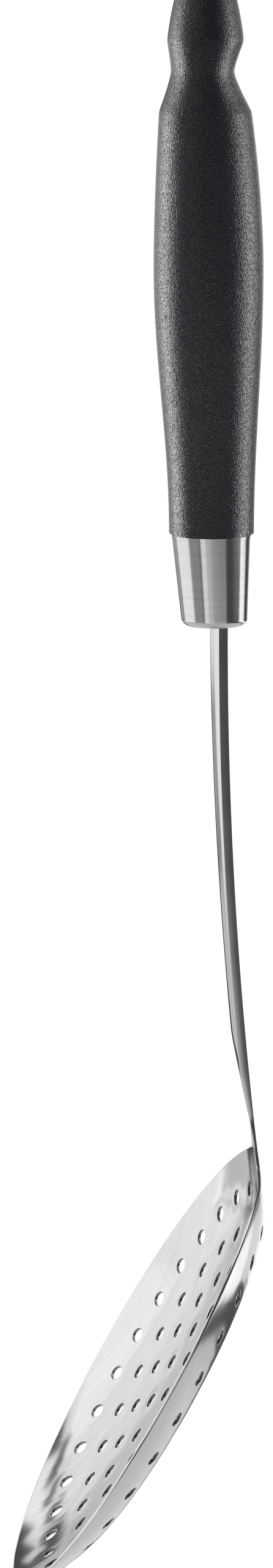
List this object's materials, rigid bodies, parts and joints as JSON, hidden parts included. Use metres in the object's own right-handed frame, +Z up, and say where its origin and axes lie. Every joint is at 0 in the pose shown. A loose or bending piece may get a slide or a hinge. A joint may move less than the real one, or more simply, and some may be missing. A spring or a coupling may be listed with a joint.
{
  "type": "skimmer",
  "caption": "Kitchen skimmer: shallow perforated steel bowl on a bowed stem, with a tapered steel ferrule and a contoured black handle that has a hanging hole.",
  "frame": {"origin": "centre of the hanging hole in the handle's pommel, in the mirror plane", "axes": "+Z up along the handle towards its top, -Y the way the bowl's hollow faces, +Y along the hanging hole towards the back, X across the object"},
  "size_m": [0.1166, 0.0587, 0.3796],
  "materials": {
    "blade_steel": "satin, brushed lengthwise",
    "ferrule_steel": "polished",
    "handle_plastic": "fine moulded grain",
    "pin_steel": "drawn wire"
  },
  "bodies": {
    "root": {"blade": "blade_steel", "ferrule": "ferrule_steel", "handle": "handle_plastic", "tang_pin": "pin_steel"}
  },
  "joints": []
}
